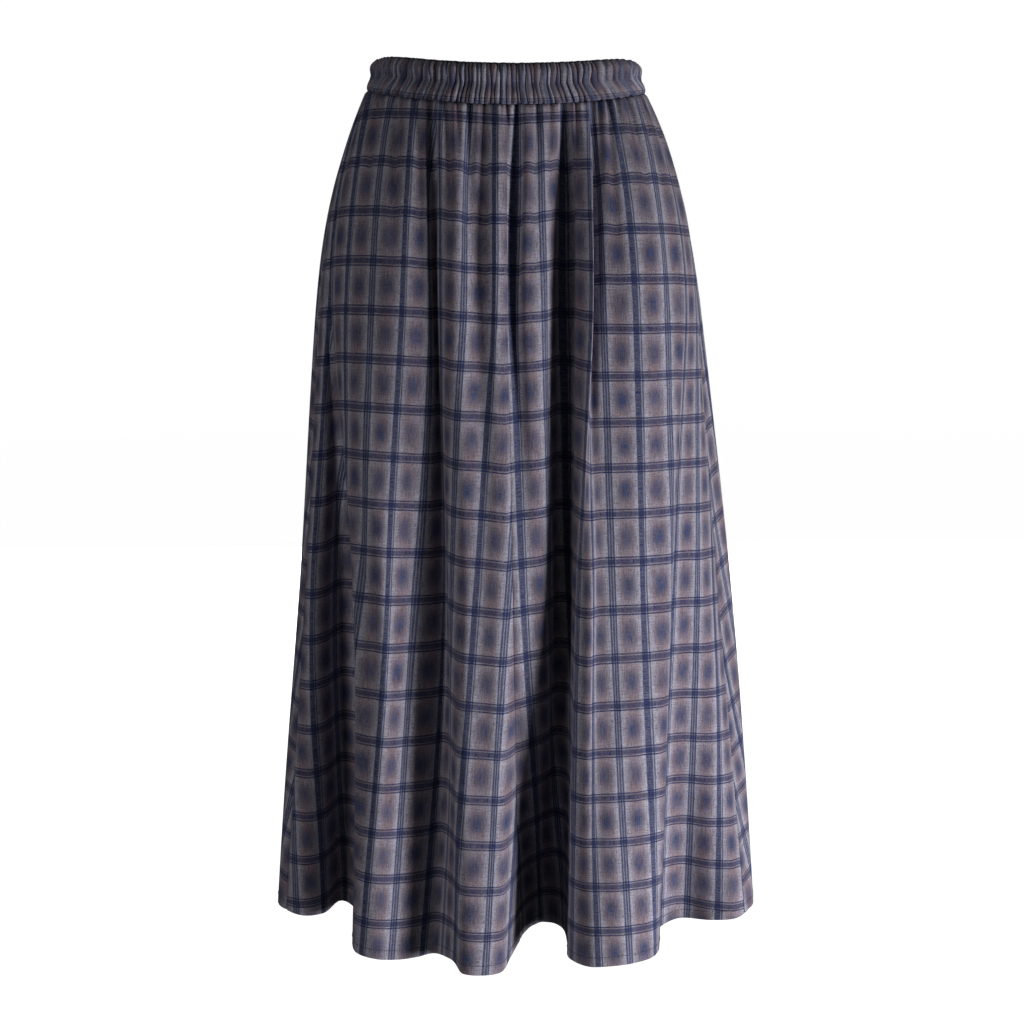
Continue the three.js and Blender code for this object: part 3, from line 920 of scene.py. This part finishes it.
def shadow_check_material(name, strength=1.0):
    """Brushed cotton and viscose twill, yarn dyed in a shadow check.

    The nap takes the shine off it, so it is rough with a faint sheen, and each stripe is broken up
    by the yarns that cross it. strength is how strongly the navy of the lines covers the ground."""
    check = check_cloth()
    material, node = blank_material(name)
    uv = node("ShaderNodeUVMap", uv_map="cloth")
    in_mm = node("ShaderNodeVectorMath", uv, (1 / MM, 1 / MM, 1 / MM), operation="MULTIPLY")

    # Yarns: fine streaks along the warp and the weft, drawn at about 1.2 mm, coarser than real ones
    warp_yarn = uneven_dye(node, in_mm, (0.85, 0.09, 1.0), 2.0, 0.6)
    weft_yarn = uneven_dye(node, in_mm, (0.09, 0.85, 1.0), 2.0, 0.6)
    fleck = uneven_dye(node, in_mm, (0.7, 0.7, 1.0), 2.0, 0.6)
    both = node("ShaderNodeMath", warp_yarn, weft_yarn, operation="ADD")
    both = node("ShaderNodeMath", both, fleck, operation="ADD")

    # The edges of the lines wander by about half a mm
    wander = uneven_dye(node, in_mm, (0.5, 0.9, 1.0), 1.0)
    wander = node("ShaderNodeMath", wander, 1.0, -0.5, operation="MULTIPLY_ADD")
    place = node("ShaderNodeSeparateXYZ", in_mm)
    across = node("ShaderNodeMath", place.outputs[0], wander, operation="ADD")
    down = node("ShaderNodeMath", place.outputs[1], wander, operation="ADD")

    colour = ground_and_shadows(node, in_mm, across, down, weft_yarn)
    stripes = warp_stripes(node, across, check.warp_repeat / MM)
    bars = weft_bars(node, down, check.weft_repeat / MM)
    for lines, yarn, mottle, least in ((stripes, weft_yarn, 1.1, 0.24), (bars, warp_yarn, 1.7, 0.12)):
        cover = node("ShaderNodeMath", yarn, mottle * strength, least * strength, operation="MULTIPLY_ADD")
        cover = node("ShaderNodeMath", cover, lines, operation="MULTIPLY", use_clamp=True)
        colour = node("ShaderNodeMix", cover, colour, (*check.navy, 1), data_type="RGBA")

    # Melange: each yarn a little lighter or darker than the next
    melange = node("ShaderNodeMapRange", both, 1.1, 1.9, 0.45, 1.5)
    grey = node("ShaderNodeCombineColor", melange, melange, melange)
    colour = node("ShaderNodeMix", 1.0, colour, grey, data_type="RGBA", blend_type="MULTIPLY")
    bump = node("ShaderNodeBump", named={"Strength": 0.3, "Distance": 0.0004, "Height": both})
    shader = node("ShaderNodeBsdfPrincipled", named={
        "Base Color": colour,
        "Roughness": 0.9,
        "Specular IOR Level": 0.2,
        "Sheen Weight": 0.08,
        "Sheen Roughness": 0.5,
        "Normal": bump,
    })
    node("ShaderNodeOutputMaterial", shader)
    return material


def thread_material(name):
    """Navy polyester sewing thread, twisted, with a little lustre painted into its colour as lighter
    streaks.
    """
    material, node = blank_material(name)
    place = node("ShaderNodeTexCoord")
    # Painted lustre: noise mixes lighter navy streaks into the thread's dark navy colour
    painted_lustre = node("ShaderNodeTexNoise", place.outputs["Object"], named={"Scale": 1.5 / MM, "Detail": 1.0})
    dark, light = ((*hex_to_linear(code), 1) for code in ("#1a1d30", "#3a3e58"))
    colour = node("ShaderNodeMix", painted_lustre, dark, light, data_type="RGBA")
    shader = node("ShaderNodeBsdfPrincipled", named={
        "Base Color": colour,
        "Roughness": 0.55,
        "Sheen Weight": 0.2,
    })
    node("ShaderNodeOutputMaterial", shader)
    return material


def backdrop_material(name):
    """Seamless white paper, lit from behind so that it stays pale."""
    material = bpy.data.materials.new(name)
    material.use_nodes = True
    shader = material.node_tree.nodes["Principled BSDF"]
    shader.inputs["Base Color"].default_value = (*hex_to_linear("#e8e8e8"), 1)
    shader.inputs["Roughness"].default_value = 0.9
    shader.inputs["Emission Color"].default_value = (1, 1, 1, 1)
    shader.inputs["Emission Strength"].default_value = 0.95
    return material


def shared_material(name, maker):
    """The material of that name, made the first time it is asked for."""
    return bpy.data.materials.get(name) or maker(name)


# Stitches


def stitch_nodes(name):
    """Geometry nodes that lay short stitches of thread along each line of the mesh they are given."""
    tree = bpy.data.node_groups.new(name, "GeometryNodeTree")
    tree.interface.new_socket("Lines", in_out="INPUT", socket_type="NodeSocketGeometry")
    for label, value in (("Spacing", 3.4 * MM), ("Half Length", 1.3 * MM), ("Half Thickness", 0.38 * MM)):
        socket = tree.interface.new_socket(label, in_out="INPUT", socket_type="NodeSocketFloat")
        socket.default_value = value
    tree.interface.new_socket("Seed", in_out="INPUT", socket_type="NodeSocketInt").default_value = 4
    tree.interface.new_socket("Thread", in_out="INPUT", socket_type="NodeSocketMaterial")
    tree.interface.new_socket("Stitches", in_out="OUTPUT", socket_type="NodeSocketGeometry")
    node = functools.partial(add_node, tree)
    given = node("NodeGroupInput").outputs
    line = node("GeometryNodeMeshToCurve", given["Lines"])
    line = node(
        "GeometryNodeResampleCurve", mode="LENGTH", named={"Curve": line, "Length": given["Spacing"]})
    along = node("GeometryNodeInputTangent")
    turned = node("FunctionNodeAlignRotationToVector", axis="Z", named={"Vector": along})
    uneven = node("FunctionNodeRandomValue", data_type="FLOAT", named={"Seed": given["Seed"]})
    uneven = node("ShaderNodeMapRange", uneven, 0.0, 1.0, 0.8, 1.15)
    half_length = node("ShaderNodeMath", uneven, given["Half Length"], operation="MULTIPLY")
    size = node("ShaderNodeCombineXYZ", given["Half Thickness"], given["Half Thickness"], half_length)
    bead = node("GeometryNodeMeshUVSphere", 8, 6, 1.0)
    laid = node("GeometryNodeInstanceOnPoints", named={
        "Points": line,
        "Instance": bead,
        "Rotation": turned,
        "Scale": size,
    })
    laid = node("GeometryNodeRealizeInstances", laid)
    laid = node("GeometryNodeSetMaterial", laid, named={"Material": given["Thread"]})
    node("NodeGroupOutput", laid)
    return tree


def stitch_line():
    """The hem's line of stitches as corners and edges, just under the turn-up's upper edge, on each
    panel's right side."""
    hem_turn = sizes().hem_turn
    up_the_turn = 0.88
    proud = 0.15 * MM
    corners = []
    edges = []
    for cut in PANELS:
        points, _, outward = panel_grid(cut)
        height = points[:, :, 2] - points[-1:, :, 2]
        row = int(np.argmax(height.mean(axis=1) < hem_turn)) - 1
        low, high = height[row + 1].mean(), height[row].mean()
        share = (high - up_the_turn * hem_turn) / (high - low)
        line = points[row] * (1 - share) + points[row + 1] * share
        line[:, :2] += outward[row] * proud
        first = len(corners)
        corners.extend(line.tolist())
        edges.extend((first + i, first + i + 1) for i in range(len(line) - 1))
    return corners, edges


# Stage


def look_at(place, target):
    """The turn that points a camera or lamp at the target."""
    dx, dy, dz = (t - p for t, p in zip(target, place))
    flat = math.hypot(dx, dy)
    return (math.atan2(flat, -dz), 0.0, math.atan2(dx, -dy) + math.pi)


def cove_mesh(name, radius, floor_height):
    """A round floor that curves up into a wall. Its section goes out from the middle, then up."""
    curve = 2.0
    curve_steps = 12
    wall_top = 7.0
    sides = 96
    section = [(0.0, 0.0), (radius - curve, 0.0)]
    for i in range(1, curve_steps + 1):
        angle = math.pi / 2 * i / curve_steps
        section.append((radius - curve * (1 - math.sin(angle)), curve * (1 - math.cos(angle))))
    section.append((radius, wall_top))
    corners = []
    for out, rise in section:
        for side in range(sides):
            turn = 2 * math.pi * side / sides
            corners.append((out * math.cos(turn), out * math.sin(turn), floor_height + rise))
    faces = []
    for ring in range(len(section) - 1):
        for side in range(sides):
            here = ring * sides
            after = (side + 1) % sides
            faces.append((here + side, here + sides + side, here + sides + after, here + after))
    mesh = bpy.data.meshes.new(name)
    mesh.from_pydata(corners, [], faces)
    mesh.polygons.foreach_set("use_smooth", [True] * len(mesh.polygons))
    return mesh


# Operators


class SKIRT_OT_panels(bpy.types.Operator):
    """Build the two front panels and the back panel, with their gathers, folds and turned hems"""

    bl_idname = "skirt.panels"
    bl_label = "Panels"

    def execute(self, context):
        size = sizes()
        cloth = shared_material("brushed_shadow_check", shadow_check_material)
        for cut in PANELS:
            points, uv, outward = panel_grid(cut)
            points, uv = hem_turn_rows(points, uv, outward)
            piece = grid_mesh(cut.name, points, uv, closed=False)
            give_thickness(piece, size.cloth)
            piece.data.materials.append(cloth)
            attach(piece, "root")
            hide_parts(cut.node)
        return {"FINISHED"}


class SKIRT_OT_waistband(bpy.types.Operator):
    """Build the gathered waistband, a casing of the same cloth over elastic"""

    bl_idname = "skirt.waistband"
    bl_label = "Waistband"

    def execute(self, context):
        points, uv, section_length = band_grid()
        piece = grid_mesh("skirt_waistband", points, uv, closed=True)
        casing_thickness = 0.8 * MM
        give_thickness(piece, casing_thickness)
        maker = functools.partial(shadow_check_material, strength=0.8)
        piece.data.materials.append(shared_material("gathered_shadow_check", maker))
        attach(piece, "root")
        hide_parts("waistband")
        return {"FINISHED"}


class SKIRT_OT_stitches(bpy.types.Operator):
    """Sew the turned-up hem with a row of short stitches that follows each panel's folds"""

    bl_idname = "skirt.stitches"
    bl_label = "Hem stitches"

    def execute(self, context):
        mesh = bpy.data.meshes.new("hem_stitches")
        mesh.from_pydata(*stitch_line(), [])
        piece = add_object("hem_stitches", mesh)
        tree = stitch_nodes("stitches")
        sewn = piece.modifiers.new("stitches", "NODES")
        sewn.node_group = tree
        thread = shared_material("navy_sewing_thread", thread_material)
        for socket in tree.interface.items_tree:
            if socket.name == "Thread":
                sewn[socket.identifier] = thread
        apply_modifiers(piece)
        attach(piece, "root")
        return {"FINISHED"}


class SKIRT_OT_stage(bpy.types.Operator):
    """Build the pale floor, the soft lights and the camera"""

    bl_idname = "skirt.stage"
    bl_label = "Stage"

    def execute(self, context):
        look = stage_look()
        scene = context.scene
        scene.view_settings.view_transform = "Standard"

        # A white paper cove, which gives the cloth no light
        floor_height = CAD_BOUNDS[0][2] - look.floor_drop
        floor = add_object("floor", cove_mesh("floor", look.cove_radius, floor_height))
        floor.data.materials.append(backdrop_material("white_paper_cove"))
        floor.visible_diffuse = False
        floor.visible_glossy = False
        floor.visible_shadow = False

        # The dim light from all round is faintly green, which takes some blue out of the deepest shade
        world = bpy.data.worlds.new("studio")
        world.use_nodes = True
        sky = world.node_tree.nodes["Background"]
        sky.inputs["Color"].default_value = (0.92, 1.0, 0.9, 1)
        sky.inputs["Strength"].default_value = look.room_light
        scene.world = world

        for box in SOFT_BOXES:
            turn = math.radians(box.around)
            lamp = bpy.data.lights.new(box.name, "AREA")
            lamp.shape = "DISK"
            lamp.size = box.width
            lamp.energy = getattr(look, box.power)
            holder = add_object(box.name, lamp)
            holder.visible_camera = False
            place = (box.distance * math.sin(turn), -box.distance * math.cos(turn), box.height)
            holder.location = place
            holder.rotation_euler = look_at(place, (0, 0, box.height))

        # Each of the photo's 1024 pixels is one mm at the camera's distance
        picture_width = 1024 * MM
        data = bpy.data.cameras.new("camera")
        data.sensor_width = 36.0
        data.lens = data.sensor_width * look.distance / picture_width
        data.clip_end = 100
        camera = add_object("camera", data)
        place = (
            look.target_x,
            -look.distance * math.cos(look.elevation),
            look.target_z + look.distance * math.sin(look.elevation),
        )
        camera.location = place
        camera.rotation_euler = look_at(place, (look.target_x, 0.0, look.target_z))
        scene.camera = camera
        return {"FINISHED"}


class SKIRT_PT_panel(bpy.types.Panel):
    """The skirt's sizes, colours and pieces"""

    bl_label = "Plaid Maxi Skirt"
    bl_idname = "SKIRT_PT_panel"
    bl_space_type = "VIEW_3D"
    bl_region_type = "UI"
    bl_category = "Skirt"

    def draw(self, context):
        layout = self.layout
        for group in (context.scene.skirt_sizes, context.scene.skirt_check, context.scene.skirt_stage):
            box = layout.box()
            for name in group.__annotations__:
                box.prop(group, name)
        for operator in OPERATORS:
            layout.operator(operator.bl_idname)


GROUPS = (SkirtSizes, CheckCloth, StageLook)
OPERATORS = (SKIRT_OT_stage, SKIRT_OT_waistband, SKIRT_OT_panels, SKIRT_OT_stitches)
CLASSES = GROUPS + OPERATORS + (SKIRT_PT_panel,)


def register():
    for cls in CLASSES:
        bpy.utils.register_class(cls)
    bpy.types.Scene.skirt_sizes = bpy.props.PointerProperty(type=SkirtSizes)
    bpy.types.Scene.skirt_check = bpy.props.PointerProperty(type=CheckCloth)
    bpy.types.Scene.skirt_stage = bpy.props.PointerProperty(type=StageLook)


def unregister():
    del bpy.types.Scene.skirt_stage
    del bpy.types.Scene.skirt_check
    del bpy.types.Scene.skirt_sizes
    for cls in reversed(CLASSES):
        bpy.utils.unregister_class(cls)


def main():
    register()
    bpy.ops.skirt.stage()
    bpy.ops.skirt.waistband()
    bpy.ops.skirt.panels()
    bpy.ops.skirt.stitches()


if __name__ == "__main__":
    main()
